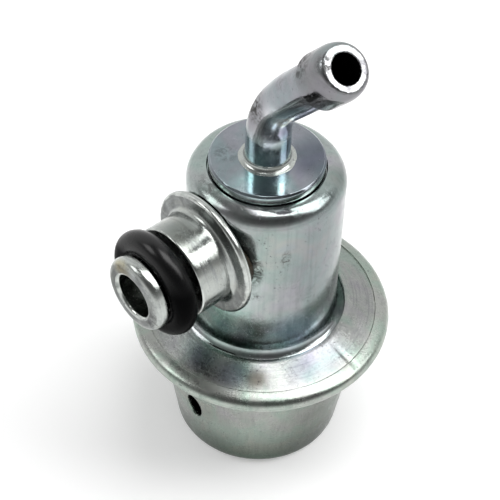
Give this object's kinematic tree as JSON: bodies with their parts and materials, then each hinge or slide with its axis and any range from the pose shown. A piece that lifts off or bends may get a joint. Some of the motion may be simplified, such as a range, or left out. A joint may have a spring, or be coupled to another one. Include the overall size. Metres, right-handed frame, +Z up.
{
  "type": "fuel pressure regulator valve",
  "caption": "Zinc-plated fuel pressure regulator with a side inlet plug, a rubber sealing ring, a bent return pipe and a tapered spring cup.",
  "frame": {"origin": "centre of the spring cup's flat underside, on the axis of the cup and housing", "axes": "+Z up along the housing's axis to the return pipe, -Y out along the inlet plug, +X the way the return pipe leans"},
  "size_m": [0.0382, 0.0427, 0.079],
  "materials": {
    "cup_zinc": "satin zinc plating with a faint green and violet cast",
    "housing_zinc": "bright zinc plating, drawn sheet, a little satin",
    "disc_zinc": "blue-grey zinc plating with pale specks",
    "pipe_zinc": "zinc plating, darker and rubbed at the bend",
    "plug_zinc": "bright turned zinc-plated steel",
    "braze": "dull plated braze",
    "ring_rubber": "semi-gloss black rubber",
    "diaphragm_rubber": "fabric-backed black rubber",
    "inner_steel": "plain pressed or turned steel",
    "holder_brass": "turned, bright",
    "valve_steel": "lapped flat",
    "ball_steel": "polished ball",
    "spring_steel": "drawn spring wire"
  },
  "bodies": {
    "housing": {"spring_cup": "cup_zinc", "fuel_housing": "housing_zinc", "outlet_disc": "disc_zinc", "return_pipe": "pipe_zinc", "pipe_braze": "braze", "seat_pipe": "inner_steel", "inlet_plug": "plug_zinc", "inlet_braze_left": "braze", "inlet_braze_right": "braze", "sealing_ring": "ring_rubber", "spring_seat": "inner_steel", "diaphragm": "diaphragm_rubber", "main_spring": "spring_steel"},
    "valve": {"upper_plate": "inner_steel", "lower_plate": "inner_steel", "valve_holder": "holder_brass", "valve_plate": "valve_steel", "plate_retainer": "inner_steel", "valve_ball": "ball_steel", "ball_spring": "spring_steel"}
  },
  "joints": [
    {"name": "valve_lift", "type": "slide", "parent": "housing", "child": "valve", "axis": [0, 0, -1], "range_m": [0, 0.001], "stiffness_N_per_m": 1000, "springref_m": -0.0005, "deforming": ["main_spring", "diaphragm"]}
  ]
}
